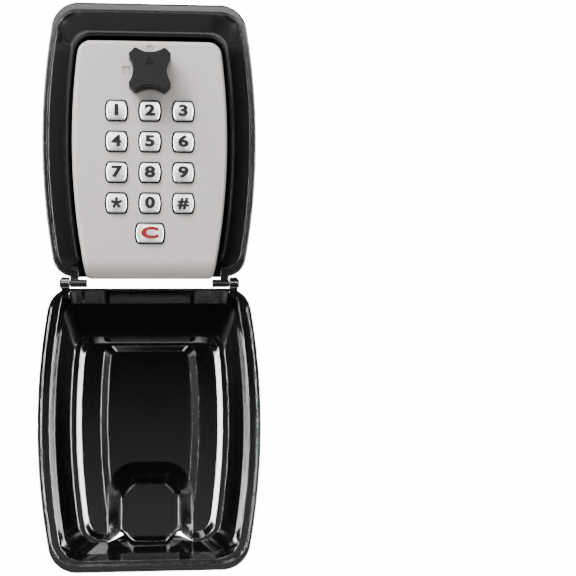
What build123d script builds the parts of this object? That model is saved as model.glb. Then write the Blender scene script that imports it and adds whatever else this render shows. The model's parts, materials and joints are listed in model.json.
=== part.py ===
from build123d import *
import os
from math import cos, pi, radians, sin, sqrt

# Wall-mounted key safe with a push-button lock, in millimetres.
# X is to the right, Z is up, and the front faces -Y. The wall is the plane y = 0.
# The origin is the centre of the wall-bolt pattern. A depth is a distance in front of the wall.

# Outline of the case
SIDE_BOW = 350.0
CASE_HALF_WIDTH = 54.0
CASE_HALF_HEIGHT = 69.25
CASE_CORNER = 14.0
CASE_FOOT_CORNER = 11.0
RIM_DEPTH = 40.0
SKIRT_WALL = 2.5
RIM_EDGE_ROUND = 0.9
FRAME_BACK_GAP = 0.3

# Dish of the weather frame, from its rim down to the opening round the door
RIM_SIDE_WIDTH = 3.4
RIM_TOP_WIDTH = 4.8
GROOVE_OUTER = 0.9
GROOVE_INNER = 0.4
GROOVE_DEPTH = 0.4
DISH_SLOPE = 7.1
DISH_TOP_SLOPE = 7.9
DISH_FOOT_SLOPE = 1.5
DISH_CORNER = 8.7
DISH_FLOOR_DEPTH = 31.8
DISH_WALL = 2.5
LIP_WIDTH = 2.9
LIP_ROUND = 2.0
LIP_SKIRT = 6.0

# Foot of the weather frame, cut open for the lower end of the door
FOOT_SIDE_LEDGE = 4.8
FOOT_TOP_RISE = 2.9
FOOT_DEPTH = 18.6
FOOT_WALL = 2.0

# Key box
BOX_SIDE_GAP = 1.3
BOX_TOP_GAP = 4.65
BOX_FLOOR_RISE = 9.8
BOX_OPEN_CORNER = 6.0
BOX_WALL = 2.8
BOX_BACK = 2.5
BOX_EDGE_DEPTH = 31.0
FLANGE_GAP = 0.3
APRON_HALF_WIDTH = 17.8
APRON_DROP = 4.0
APRON_THICKNESS = 2.5
NOTCH_SIDE_GAP = 2.0
NOTCH_RISE = 3.0
NOTCH_SETBACK = 4.0
WALL_HOLE_X = 20.0
WALL_HOLE_Z = 30.0
WALL_HOLE_R = 2.6
FRAME_SCREW_SIDE_INSET = 11.0
FRAME_SCREW_END_INSET = 18.25
FRAME_SCREW_R = 1.5
FRAME_SCREW_HEAD_R = 2.9
FRAME_SCREW_LENGTH = 12.0
FRAME_BOSS_R = 3.4

# Hinge of the weather cover
COVER_AXIS_DROP = 3.25
KNUCKLE_R = 2.0
KNUCKLE_INNER_REACH = 4.3
KNUCKLE_OUTER_REACH = 4.2
EAR_R = 3.2
EAR_LENGTH = 4.2
EAR_GAP = 0.3
COVER_PIN_R = 1.0
COVER_PIN_HEAD_R = 2.2
COVER_PIN_HEAD = 0.8
HINGE_RUNNING_GAP = 0.06
KNUCKLE_WEB = 2.6

# Weather cover, drawn shut. Its depths are counted forwards from the plane of the case's rim
COVER_WALL = 2.0
COVER_NEAR_WALL = 1.2
COVER_GAP = 0.5
COVER_SEAT_GAP = 0.3
COVER_LIP = 1.8
COVER_SIDE_OVERHANG = 2.3
COVER_TOP_OVERHANG = 4.05
COVER_NEAR_EDGE = 2.5
COVER_LIP_START = 12.0
FLANGE_FAR_CORNER = 14.5
FLANGE_NEAR_CORNER = 12.0
FLANGE_TOP = 2.7
BODY_TOP = 11.9
SLOPE_TOP = 20.4
STRIP_TOP = 24.7
PANEL_TOP = 27.1
CUP_STRAIGHT_TOP = 30.0
FUNNEL_TOP = 33.5
CUP_TOP = 34.8
SHOULDER_HALF_WIDTH = 24.0
CUP_HALF_WIDTH = 18.4
CUP_TOP_HALF_WIDTH = 17.2
CUP_CUT = 8.5
CUP_RISE = 16.1
SHOULDER_NEAR_REACH = 14.0
SHOULDER_FAR_REACH = 32.0
SHOULDER_CORNER = 17.0
FUNNEL_END_CUT = 3.2
MOUTH_CORNER = 1.0

# How far the side of each step of the cover lies inside the case's widest line
BODY_SIDE_INSET = 1.7
BODY_TOP_SIDE_INSET = 3.5
SLOPE_TOP_SIDE_INSET = 11.2
STRIP_SIDE_INSET = 14.4
STRIP_TOP_SIDE_INSET = 16.4
PANEL_SIDE_INSET = 26.4
PANEL_TOP_SIDE_INSET = 30.0

# Near edge of each step of the cover, as its distance from the hinge
BODY_TOP_NEAR = 9.0
SLOPE_TOP_NEAR = 24.0
STRIP_NEAR = 26.5
STRIP_TOP_NEAR = 30.0
PANEL_NEAR = 31.5
PANEL_TOP_NEAR = 34.5

# How far each step draws in at the far end of the cover
BODY_TOP_INSET = 1.6
SLOPE_TOP_INSET = 5.6
STRIP_INSET = 7.2
STRIP_TOP_INSET = 9.6
PANEL_INSET = 10.4
PANEL_TOP_INSET = 12.0

# Corner radius of each step of the cover
BODY_CORNER = 14.0
BODY_NEAR_CORNER = 9.0
SLOPE_TOP_CORNER = 11.0
STRIP_CORNER = 9.0
STRIP_TOP_CORNER = 8.0
PANEL_CORNER = 5.0
PANEL_TOP_CORNER = 4.0

# Door
PLATE_DEPTH = 13.0
PLATE_SEAT_GAP = 0.5
PLATE_WALL = 2.2
PLATE_SIDE_GAP = 1.6
PLATE_TOP_GAP = 4.05
PLATE_DROP = 1.05
PLATE_CORNER = 7.0
PLATE_EDGE_ROUND = 2.6
PLATE_END_R = 10.0
DOOR_AXIS_RISE = 11.45
DOOR_AXIS_SETBACK = 0.8
DOOR_GAP = 0.6
BACK_PLATE_THICKNESS = 2.0
BACK_PLATE_FLOOR_GAP = 0.8
DOOR_BOSS_R = 2.8
MARK_DEPTH = 0.3
STAMP_DEPTH = 0.55
MARK_LINE = 0.45
CIRCLE_MARK_RISE = 12.5
CIRCLE_MARK_R = 1.7
SQUARE_MARK_X = -11.8
SQUARE_MARK_RISE = 1.4
SQUARE_MARK_SIDE = 3.8

# Hinge of the door
ROD_R = 1.5
ROD_END = 0.8
SLEEVE_R = 2.3
SLEEVE_GAP = 0.2
BRACKET_INNER = 18.4
BRACKET_BLOCK = 6.8
BRACKET_EAR = 1.8
BRACKET_OUTER = 27.8
BRACKET_SHEET = 1.8
BRACKET_BARREL_R = 2.5
BRACKET_LEAF_BACK = 14.0
BRACKET_NOTCH_R = 1.6
BRACKET_SCREW_R = 1.0
BRACKET_SCREW_HEAD_R = 1.9
BRACKET_SCREW_HEAD = 1.1
ARM_GAP = 0.6
ARM_THICKNESS = 1.8
ARM_FRONT_REACH = 1.2
ARM_EYE_R = 2.9
ARM_STRIP_WIDTH = 4.8
ARM_STRIP = 1.5
ARM_STRIP_DROP = 1.8
ARM_STRIP_TOP_GAP = 2.2
ARM_SCREW_X = 28.6
ARM_SCREW_DROPS = (47.5, 26.5, 6.5)
ARM_SCREW_R = 1.2
ARM_SCREW_HEAD_R = 2.1
ARM_SCREW_HEAD = 1.2
ARM_SCREW_GRIP = 7.0

# Keys
KEY_PITCH_X = 16.7
KEY_TOP_ROW_DROP = 19.0
CLEAR_ROW_CUT = 0.3
CLEAR_KEY_RISE = 23.0
KEY_COLUMN_GAP = 6.2
KEY_ROW_GAP = 5.85
CLEAR_KEY_EXTRA_WIDTH = 3.6
KEY_BULGE = 1.15
KEY_CORNER = 1.2
KEY_GAP = 0.7
KEY_PROUD = 2.3
KEY_EDGE_ROUND = 0.8
KEY_CROWN_R = 34.0
KEY_TRAVEL = 1.6
KEY_FLANGE = 1.3
KEY_FLANGE_THICKNESS = 0.9
KEY_SEAT_GAP = 0.1
KEY_STEM_R = 1.5
SPRING_R = 2.3
SPRING_WIRE_R = 0.25
SPRING_TURNS = 4
SPRING_SEAT_GAP = 0.05

# Lock plate and clear bar
LOCK_PLATE_HALF_WIDTH = 25.0
LOCK_PLATE_TOP_MARGIN = 9.8
LOCK_PLATE_END_MARGIN = 6.2
LEG_LENGTH = 3.5
LOCK_PLATE_THICKNESS = 1.4
STEM_HOLE_R = 1.9
LEG_X = 23.5
LEG_TOP_DROP = 8.0
LEG_END_RISE = 3.7
LEG_R = 1.4
LOCK_SCREW_R = 0.7
LOCK_SCREW_HEAD_R = 1.3
LOCK_SCREW_HEAD = 0.8
CLEAR_BAR_HALF_WIDTH = 21.0
CLEAR_BAR_HEIGHT = 3.0
CLEAR_BAR_THICKNESS = 1.2

# Code discs in the back plate
DISC_RISE = 7.1
DISC_PITCH_CUT = 1.25
DISC_R = 3.5
DISC_GAP = 0.08
DISC_FLANGE = 0.9
DISC_FLANGE_THICKNESS = 1.0
DISC_PROUD = 0.3
DISC_SLOT_LENGTH = 4.9
DISC_SLOT_WIDTH = 0.9
DISC_SLOT_DEPTH = 0.8

# Knob and its spindle
KNOB_DROP = 16.4
KNOB_LOBE_FAR = 10.7
KNOB_LOBE_NEAR = 7.2
KNOB_WAIST = 8.2
KNOB_CORNER = 1.2
KNOB_HEIGHT = 16.0
KNOB_EDGE_ROUND = 0.6
KNOB_GAP = 0.2
TRIANGLE_SIDE = 4.6
TRIANGLE_CENTRE_Z = 3.2
TRIANGLE_LINE = 0.5
SPINDLE_R = 3.0
SPINDLE_GRIP = 12.0
BUSH_R = 4.8
BUSH_FLANGE_R = 6.2
BUSH_FLANGE = 0.4
CLIP_R = 4.6
CLIP_THICKNESS = 0.8
CLIP_GAP = 0.3
CAM_R = 6.0
CAM_THICKNESS = 1.8
CAM_GAP = 0.3
CRANK_PIN_R = 1.0
BOLT_STROKE = 5.0

# Latch on the back of the door
LATCH_COVER_HALF_WIDTH = 24.0
LATCH_COVER_TOP_GAP = 2.5
LATCH_COVER_DISC_GAP = 3.4
LATCH_COVER_HEIGHT = 6.0
LATCH_COVER_WALL = 1.5
LATCH_COVER_CORNER = 5.0
LATCH_COVER_ROUND = 1.2
BOLT_HALF_WIDTH = 7.0
BOLT_THICKNESS = 1.8
BOLT_TAIL = 16.2
BOLT_TIP_PROUD = 0.2
BOLT_GAP = 0.2
GUIDE_WIDTH = 1.5
CRANK_SLOT_GAP = 0.3
KEEPER_HALF_WIDTH = 12.5
KEEPER_THICKNESS = 1.5
KEEPER_SLOT_GAP = 0.4
KEEPER_MARGIN = 3.2
KEEPER_SCREW_X = 10.2
KEEPER_SCREW_R = 0.8
KEEPER_SCREW_HEAD_R = 1.4
KEEPER_SCREW_HEAD = 0.5

# Places that follow from the case and the sizes above
HOLE_HALF_WIDTH = CASE_HALF_WIDTH - RIM_SIDE_WIDTH - DISH_SLOPE - LIP_WIDTH
HOLE_TOP = CASE_HALF_HEIGHT - RIM_TOP_WIDTH - DISH_TOP_SLOPE - LIP_WIDTH
FOOT_HALF_WIDTH = HOLE_HALF_WIDTH - FOOT_SIDE_LEDGE
KNUCKLE_INNER = FOOT_HALF_WIDTH - KNUCKLE_INNER_REACH
KNUCKLE_OUTER = FOOT_HALF_WIDTH + KNUCKLE_OUTER_REACH
COVER_AXIS_Z = -CASE_HALF_HEIGHT - COVER_AXIS_DROP
DOOR_AXIS_Z = DOOR_AXIS_RISE - CASE_HALF_HEIGHT
FOOT_TOP = DOOR_AXIS_Z + FOOT_TOP_RISE
FRAME_SCREW_X = CASE_HALF_WIDTH - FRAME_SCREW_SIDE_INSET
FRAME_SCREW_Z = CASE_HALF_HEIGHT - FRAME_SCREW_END_INSET
BOX_OPEN_HALF_WIDTH = HOLE_HALF_WIDTH - BOX_WALL - BOX_SIDE_GAP
BOX_OPEN_TOP = HOLE_TOP - BOX_TOP_GAP
BOX_OPEN_BOTTOM = DOOR_AXIS_Z + BOX_FLOOR_RISE
NOTCH_TOP = BOX_OPEN_BOTTOM + NOTCH_RISE
PLATE_BACK = BOX_EDGE_DEPTH + PLATE_SEAT_GAP
PLATE_FRONT = PLATE_BACK + PLATE_DEPTH
PLATE_HALF_WIDTH = HOLE_HALF_WIDTH - PLATE_SIDE_GAP
PLATE_TOP = HOLE_TOP - PLATE_TOP_GAP
PLATE_BOTTOM = -CASE_HALF_HEIGHT - PLATE_DROP
BACK_PLATE_BOTTOM = BOX_OPEN_BOTTOM + BACK_PLATE_FLOOR_GAP
DOOR_AXIS_DEPTH = PLATE_BACK + DOOR_AXIS_SETBACK
ARM_INNER = BRACKET_OUTER + ARM_GAP
ROD_HALF_LENGTH = ARM_INNER + ARM_THICKNESS + ROD_END
NOTCH_OUTER = ROD_HALF_LENGTH + NOTCH_SIDE_GAP
ARM_STRIP_BOTTOM = BOX_OPEN_BOTTOM - ARM_STRIP_DROP
ARM_STRIP_TOP = BOX_OPEN_TOP - ARM_STRIP_TOP_GAP
ARM_SCREW_ZS = tuple(BOX_OPEN_TOP - drop for drop in ARM_SCREW_DROPS)

# The knob, keys and discs share out the length of the door
KNOB_Z = PLATE_TOP - KNOB_DROP
CLEAR_KEY_Z = PLATE_BOTTOM + CLEAR_KEY_RISE
KEY_TOP_ROW_Z = KNOB_Z - KEY_TOP_ROW_DROP
KEY_PITCH_Z = (KEY_TOP_ROW_Z - CLEAR_KEY_Z + CLEAR_ROW_CUT) / 4
KEY_WIDTH = KEY_PITCH_X - KEY_COLUMN_GAP
KEY_HEIGHT = KEY_PITCH_Z - KEY_ROW_GAP
CLEAR_KEY_WIDTH = KEY_WIDTH + CLEAR_KEY_EXTRA_WIDTH
CIRCLE_MARK_Z = KNOB_Z + CIRCLE_MARK_RISE
SQUARE_MARK_Z = KNOB_Z + SQUARE_MARK_RISE
DISC_PITCH_Z = KEY_PITCH_Z - DISC_PITCH_CUT
DISC_BOTTOM_Z = CLEAR_KEY_Z + DISC_RISE
DISC_TOP = DISC_BOTTOM_Z + 3 * DISC_PITCH_Z + DISC_R
LOCK_PLATE_TOP = KEY_TOP_ROW_Z + LOCK_PLATE_TOP_MARGIN
LOCK_PLATE_BOTTOM = CLEAR_KEY_Z - LOCK_PLATE_END_MARGIN
LEG_TOP_Z = KEY_TOP_ROW_Z - LEG_TOP_DROP
LEG_BOTTOM_Z = CLEAR_KEY_Z + LEG_END_RISE
LATCH_COVER_BOTTOM = DISC_TOP + LATCH_COVER_DISC_GAP
LATCH_COVER_TOP = BOX_OPEN_TOP - LATCH_COVER_TOP_GAP
BOLT_BOTTOM = KNOB_Z - BOLT_TAIL

# Depths and lengths that follow
CRANK_R = BOLT_STROKE / 2 / sin(radians(45))
PLATE_INNER = PLATE_FRONT - PLATE_WALL
BACK_PLATE_FRONT = PLATE_BACK
BACK_PLATE_REAR = BACK_PLATE_FRONT - BACK_PLATE_THICKNESS
LATCH_COVER_REAR = BACK_PLATE_REAR - LATCH_COVER_HEIGHT
CAM_FRONT = BACK_PLATE_REAR - CAM_GAP
CAM_REAR = CAM_FRONT - CAM_THICKNESS
BOLT_FRONT = CAM_REAR - BOLT_GAP
BOLT_REAR = BOLT_FRONT - BOLT_THICKNESS
KEY_FLANGE_FRONT = PLATE_INNER - KEY_SEAT_GAP
KEY_FLANGE_REAR = KEY_FLANGE_FRONT - KEY_FLANGE_THICKNESS
LOCK_PLATE_REAR = BACK_PLATE_FRONT + LEG_LENGTH
LOCK_PLATE_FRONT = LOCK_PLATE_REAR + LOCK_PLATE_THICKNESS
EAR_INNER = KNUCKLE_OUTER + EAR_GAP
EAR_OUTER = EAR_INNER + EAR_LENGTH
KEY_STEM_LENGTH = KEY_FLANGE_REAR - LOCK_PLATE_FRONT - KEY_TRAVEL / 2
KEY_LABELS = ("1", "2", "3", "4", "5", "6", "7", "8", "9", "star", "0", "hash")
PICK_TOLERANCE = 0.2


def facing(depth):
    """Plane at a depth in front of the wall, drawn in x and z, facing forwards."""
    return Plane.XZ.offset(depth)


def slab(sketch, back, front):
    """Solid of a sketch between two depths."""
    return extrude(facing(back) * sketch, front - back)


def block(x0, x1, back, front, z0, z1):
    """Box between two values of x, two depths and two heights."""
    centre = ((x0 + x1) / 2, -(back + front) / 2, (z0 + z1) / 2)
    return Pos(*centre) * Box(abs(x1 - x0), front - back, z1 - z0)


def post(x, z, radius, back, front):
    """Round post square to the wall."""
    return slab(Pos(x, z) * Circle(radius), back, front)


def cross_rod(x0, x1, depth, z, radius):
    """Round rod along X."""
    middle = Pos((x0 + x1) / 2, -depth, z)
    return middle * Rot(0, 90, 0) * Cylinder(radius, abs(x1 - x0))


def side_x(half_width, z):
    """Half width of a bowed outline at a height."""
    return half_width - SIDE_BOW + sqrt(SIDE_BOW**2 - z**2)


def barrel(half_width, top, bottom, top_corner, bottom_corner):
    """Outline with flat ends and sides that bow outwards, widest at z = 0."""
    middle = (top + bottom) / 2
    upper = side_x(half_width, top)
    lower = side_x(half_width, bottom)
    belly = side_x(half_width, middle)
    loop = [
        ThreePointArc((lower, bottom), (belly, middle), (upper, top)),
        Line((upper, top), (-upper, top)),
        ThreePointArc((-upper, top), (-belly, middle), (-lower, bottom)),
        Line((-lower, bottom), (lower, bottom)),
    ]
    face = make_face(Curve() + loop)
    face = fillet(face.vertices().group_by(Axis.Y)[-1], top_corner)
    if bottom_corner > 0:
        face = fillet(face.vertices().group_by(Axis.Y)[0], bottom_corner)
    return face


def tier(back, front, back_outline, front_outline):
    """Solid between two outlines at two depths."""
    return loft([facing(back) * back_outline, facing(front) * front_outline], ruled=True)


def mirrored(piece):
    """The same piece on the other side of the middle plane."""
    return mirror(piece, about=Plane.YZ)


def both_sides(piece):
    """A piece and its mirror image, as separate solids of one node."""
    return Compound(children=[piece, mirrored(piece)])


def case_outline(inset):
    """Outline of the case, drawn in by an amount."""
    half_height = CASE_HALF_HEIGHT - inset
    return barrel(CASE_HALF_WIDTH - inset, half_height, -half_height, CASE_CORNER - inset,
                  CASE_FOOT_CORNER - inset)


def rim_outline(grow):
    """Outline of the rim's inner edge, let out by an amount."""
    half_height = CASE_HALF_HEIGHT - RIM_TOP_WIDTH + grow
    shrink = RIM_SIDE_WIDTH - grow
    return barrel(CASE_HALF_WIDTH - shrink, half_height, -half_height, CASE_CORNER - shrink,
                  CASE_FOOT_CORNER - shrink)


def dish_floor_outline(grow):
    """Outline where the slope of the frame's dish ends."""
    inset = RIM_SIDE_WIDTH + DISH_SLOPE - grow
    top = CASE_HALF_HEIGHT - RIM_TOP_WIDTH - DISH_TOP_SLOPE + grow
    bottom = RIM_TOP_WIDTH + DISH_FOOT_SLOPE - CASE_HALF_HEIGHT - grow
    return barrel(CASE_HALF_WIDTH - inset, top, bottom, DISH_CORNER + grow, DISH_CORNER + grow)


def dish_hole_outline():
    """Outline of the opening in the frame round the door."""
    bottom = RIM_TOP_WIDTH + DISH_FOOT_SLOPE + LIP_WIDTH - CASE_HALF_HEIGHT
    return barrel(HOLE_HALF_WIDTH, HOLE_TOP, bottom, DISH_CORNER, LIP_ROUND)


def is_dish_floor(face):
    return abs(face.center().Y + DISH_FLOOR_DEPTH) < PICK_TOLERANCE


def frame_screw_places():
    return [(x, z) for x in (-FRAME_SCREW_X, FRAME_SCREW_X) for z in (-FRAME_SCREW_Z, FRAME_SCREW_Z)]


def make_weather_frame():
    back = FRAME_BACK_GAP
    outer = slab(case_outline(0), back, RIM_DEPTH)
    outer = fillet(outer.edges().group_by(Axis.Y)[0], RIM_EDGE_ROUND)
    inside = slab(case_outline(SKIRT_WALL), back, RIM_DEPTH - SKIRT_WALL)
    floor = dish_floor_outline(DISH_WALL)
    core = tier(DISH_FLOOR_DEPTH - DISH_WALL, RIM_DEPTH, floor, rim_outline(DISH_WALL))
    core += slab(dish_floor_outline(0), DISH_FLOOR_DEPTH - DISH_WALL - LIP_SKIRT, DISH_FLOOR_DEPTH)
    cheeks = block(-FOOT_HALF_WIDTH - FOOT_WALL, FOOT_HALF_WIDTH + FOOT_WALL,
                   FOOT_DEPTH - FOOT_WALL, RIM_DEPTH, -CASE_HALF_HEIGHT, FOOT_TOP)
    frame = outer - (inside - core) + (cheeks & slab(case_outline(0), back, RIM_DEPTH))
    dish = tier(DISH_FLOOR_DEPTH, RIM_DEPTH, dish_floor_outline(0), rim_outline(0))
    frame = frame - dish - slab(dish_hole_outline(), FOOT_DEPTH, RIM_DEPTH)
    groove = rim_outline(GROOVE_OUTER) - rim_outline(GROOVE_INNER)
    frame -= slab(groove, RIM_DEPTH - GROOVE_DEPTH, RIM_DEPTH)
    floor_face = frame.faces().filter_by(Axis.Y).filter_by(is_dish_floor)[0]
    frame = fillet(floor_face.inner_wires()[0].edges(), LIP_ROUND)
    foot = block(-FOOT_HALF_WIDTH, FOOT_HALF_WIDTH, FOOT_DEPTH, 2 * RIM_DEPTH,
                 -2 * CASE_HALF_HEIGHT, FOOT_TOP)
    frame = frame - foot
    for x, z in frame_screw_places():
        boss = post(x, z, FRAME_BOSS_R, BOX_BACK, DISH_FLOOR_DEPTH)
        frame += boss - dish
    for x, z in frame_screw_places():
        frame -= post(x, z, FRAME_SCREW_R, 0, BOX_BACK + FRAME_SCREW_LENGTH)
    knuckle = cross_rod(KNUCKLE_INNER, KNUCKLE_OUTER, RIM_DEPTH, COVER_AXIS_Z, KNUCKLE_R)
    knuckle += block(FOOT_HALF_WIDTH, KNUCKLE_OUTER, RIM_DEPTH - KNUCKLE_WEB, RIM_DEPTH,
                     COVER_AXIS_Z, -CASE_HALF_HEIGHT + RIM_TOP_WIDTH / 2)
    knuckle -= cross_rod(0, CASE_HALF_WIDTH, RIM_DEPTH, COVER_AXIS_Z,
                         COVER_PIN_R + HINGE_RUNNING_GAP)
    return frame + knuckle + mirrored(knuckle)


def make_frame_screws():
    screws = []
    for x, z in frame_screw_places():
        head_depth = FRAME_SCREW_HEAD_R - FRAME_SCREW_R
        head = Rot(-90, 0, 0) * Cone(FRAME_SCREW_R, FRAME_SCREW_HEAD_R, head_depth)
        shank = post(x, z, FRAME_SCREW_R, head_depth, BOX_BACK + FRAME_SCREW_LENGTH)
        screws.append(Pos(x, -head_depth / 2, z) * head + shank)
    return Compound(children=screws)


def box_outline(grow):
    """Outline of the key box's opening, let out by an amount."""
    return barrel(BOX_OPEN_HALF_WIDTH + grow, BOX_OPEN_TOP + grow, BOX_OPEN_BOTTOM - grow,
                  BOX_OPEN_CORNER + grow, BOX_OPEN_CORNER + grow)


def make_case_box(screws):
    box = slab(case_outline(SKIRT_WALL + FLANGE_GAP), 0, BOX_BACK)
    box += slab(box_outline(BOX_WALL), 0, BOX_EDGE_DEPTH)
    bottom = BOX_OPEN_BOTTOM - BOX_WALL
    box += block(-APRON_HALF_WIDTH, APRON_HALF_WIDTH, BOX_EDGE_DEPTH - APRON_THICKNESS,
                 BOX_EDGE_DEPTH, bottom - APRON_DROP, bottom + BOX_WALL / 2)
    box -= slab(box_outline(0), BOX_BACK, RIM_DEPTH)
    notch = block(APRON_HALF_WIDTH, NOTCH_OUTER, BOX_EDGE_DEPTH - NOTCH_SETBACK, RIM_DEPTH,
                  2 * BOX_OPEN_BOTTOM, NOTCH_TOP)
    box -= notch
    box -= mirrored(notch)
    for x in (-WALL_HOLE_X, WALL_HOLE_X):
        for z in (-WALL_HOLE_Z, WALL_HOLE_Z):
            box -= post(x, z, WALL_HOLE_R, -BOX_BACK, 2 * BOX_BACK)
    box -= screws
    slot = BOLT_HALF_WIDTH + KEEPER_SLOT_GAP
    box -= block(-slot, slot, BOLT_REAR - KEEPER_SLOT_GAP, BOLT_FRONT + KEEPER_SLOT_GAP,
                 BOX_OPEN_TOP - BOX_WALL, BOX_OPEN_TOP + 2 * BOX_WALL)
    for x in (-KEEPER_SCREW_X, KEEPER_SCREW_X):
        box -= keeper_screw_hole(x)
    for piece in bracket_screw_list():
        box -= piece
        box -= mirrored(piece)
    return box


def keeper_screw_hole(x):
    depth = (BOLT_FRONT + BOLT_REAR) / 2
    middle = BOX_OPEN_TOP - KEEPER_THICKNESS + BOX_WALL / 2
    return Pos(x, -depth, middle) * Cylinder(KEEPER_SCREW_R, BOX_WALL + KEEPER_THICKNESS)


def make_keeper_screws():
    screws = []
    for x in (-KEEPER_SCREW_X, KEEPER_SCREW_X):
        low = BOX_OPEN_TOP - KEEPER_THICKNESS
        head = Pos(x, -(BOLT_FRONT + BOLT_REAR) / 2, low - KEEPER_SCREW_HEAD / 2)
        head = head * Cylinder(KEEPER_SCREW_HEAD_R, KEEPER_SCREW_HEAD)
        shank = keeper_screw_hole(x)
        shank -= block(-CASE_HALF_WIDTH, CASE_HALF_WIDTH, 0, RIM_DEPTH, 0, low)
        screws.append(head + shank)
    return Compound(children=screws)


def make_latch_keeper():
    back = BOLT_REAR - KEEPER_MARGIN
    front = BOLT_FRONT + KEEPER_SLOT_GAP + BOLT_THICKNESS / 2
    keeper = block(-KEEPER_HALF_WIDTH, KEEPER_HALF_WIDTH, back, front,
                   BOX_OPEN_TOP - KEEPER_THICKNESS, BOX_OPEN_TOP)
    slot = BOLT_HALF_WIDTH + KEEPER_SLOT_GAP
    keeper -= block(-slot, slot, BOLT_REAR - KEEPER_SLOT_GAP, BOLT_FRONT + KEEPER_SLOT_GAP,
                    0, 2 * BOX_OPEN_TOP)
    for x in (-KEEPER_SCREW_X, KEEPER_SCREW_X):
        keeper -= keeper_screw_hole(x)
    return keeper


def bracket_screw_list():
    """Two screws that go up through one bracket into the floor of the box."""
    top = BOX_OPEN_BOTTOM - BOX_WALL / 4
    under = BOX_OPEN_BOTTOM - BOX_WALL - BRACKET_SHEET
    x = BRACKET_INNER + BRACKET_BLOCK / 2
    screws = []
    for depth in (BRACKET_LEAF_BACK + BRACKET_SCREW_HEAD_R, BRACKET_LEAF_BACK + 4 * BRACKET_SCREW_HEAD_R):
        shank = Pos(x, -depth, (top + under) / 2) * Cylinder(BRACKET_SCREW_R, top - under)
        head = Cylinder(BRACKET_SCREW_HEAD_R, BRACKET_SCREW_HEAD)
        screws.append(shank + Pos(x, -depth, under - BRACKET_SCREW_HEAD / 2) * head)
    return screws


def make_bracket():
    floor = BOX_OPEN_BOTTOM - BOX_WALL
    leaf_front = DOOR_AXIS_DEPTH - BRACKET_BARREL_R + BRACKET_SHEET
    block_outer = BRACKET_INNER + BRACKET_BLOCK
    bracket = block(BRACKET_INNER, BRACKET_OUTER, BRACKET_LEAF_BACK, leaf_front, floor - BRACKET_SHEET, floor)
    bracket += block(BRACKET_INNER, block_outer, leaf_front - BRACKET_SHEET, leaf_front,
                     DOOR_AXIS_Z, floor)
    bracket += cross_rod(BRACKET_INNER, block_outer, DOOR_AXIS_DEPTH, DOOR_AXIS_Z, BRACKET_BARREL_R)
    ear_x = BRACKET_OUTER - BRACKET_EAR
    bracket += cross_rod(ear_x, BRACKET_OUTER, DOOR_AXIS_DEPTH, DOOR_AXIS_Z, ARM_EYE_R)
    bracket += block(ear_x, BRACKET_OUTER, leaf_front - BRACKET_SHEET, DOOR_AXIS_DEPTH + ARM_EYE_R,
                     DOOR_AXIS_Z, floor)
    notch_x = BRACKET_INNER + BRACKET_BLOCK / 2
    bracket -= post(notch_x, floor - BRACKET_SHEET, BRACKET_NOTCH_R,
                    leaf_front - BRACKET_SHEET / 2, 2 * DOOR_AXIS_DEPTH)
    bracket -= cross_rod(0, CASE_HALF_WIDTH, DOOR_AXIS_DEPTH, DOOR_AXIS_Z, ROD_R)
    for screw in bracket_screw_list():
        bracket -= screw
    return bracket


def make_hinge_rod():
    rod = cross_rod(-ROD_HALF_LENGTH, ROD_HALF_LENGTH, DOOR_AXIS_DEPTH, DOOR_AXIS_Z, ROD_R)
    return chamfer(rod.edges().filter_by(GeomType.CIRCLE), ROD_R / 4)


def make_rod_sleeve():
    half = BRACKET_INNER - SLEEVE_GAP
    sleeve = cross_rod(-half, half, DOOR_AXIS_DEPTH, DOOR_AXIS_Z, SLEEVE_R)
    return sleeve - cross_rod(-half, half, DOOR_AXIS_DEPTH, DOOR_AXIS_Z, ROD_R)


def cover_outline(side_inset, near, far, far_corner, near_corner):
    """Outline across the shut cover. Near and far are distances from the hinge axis."""
    return barrel(CASE_HALF_WIDTH - side_inset, COVER_AXIS_Z + far, COVER_AXIS_Z + near, far_corner,
                  near_corner)


def cover_far():
    return CASE_HALF_HEIGHT - COVER_AXIS_Z + COVER_TOP_OVERHANG


def cup_outline(half_width):
    """Eight-sided outline of the pocket for the knob."""
    centre = KNOB_Z + CUP_RISE
    cut = CUP_CUT * half_width / CUP_HALF_WIDTH
    inner = half_width - cut
    corners = [(-half_width, -inner), (-inner, -half_width), (inner, -half_width), (half_width, -inner),
               (half_width, inner), (inner, half_width), (-inner, half_width), (-half_width, inner)]
    return Pos(0, centre) * make_face(Polyline(*corners, close=True))


def shoulder_outline(wall):
    """Outline of the funnel that leads down to the pocket for the knob."""
    near = KNOB_Z - SHOULDER_NEAR_REACH + wall
    far = KNOB_Z + SHOULDER_FAR_REACH - wall
    face = Pos(0, (near + far) / 2) * Rectangle(2 * (SHOULDER_HALF_WIDTH - wall), far - near)
    return fillet(face.vertices().group_by(Axis.Y)[0], SHOULDER_CORNER - wall)


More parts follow.
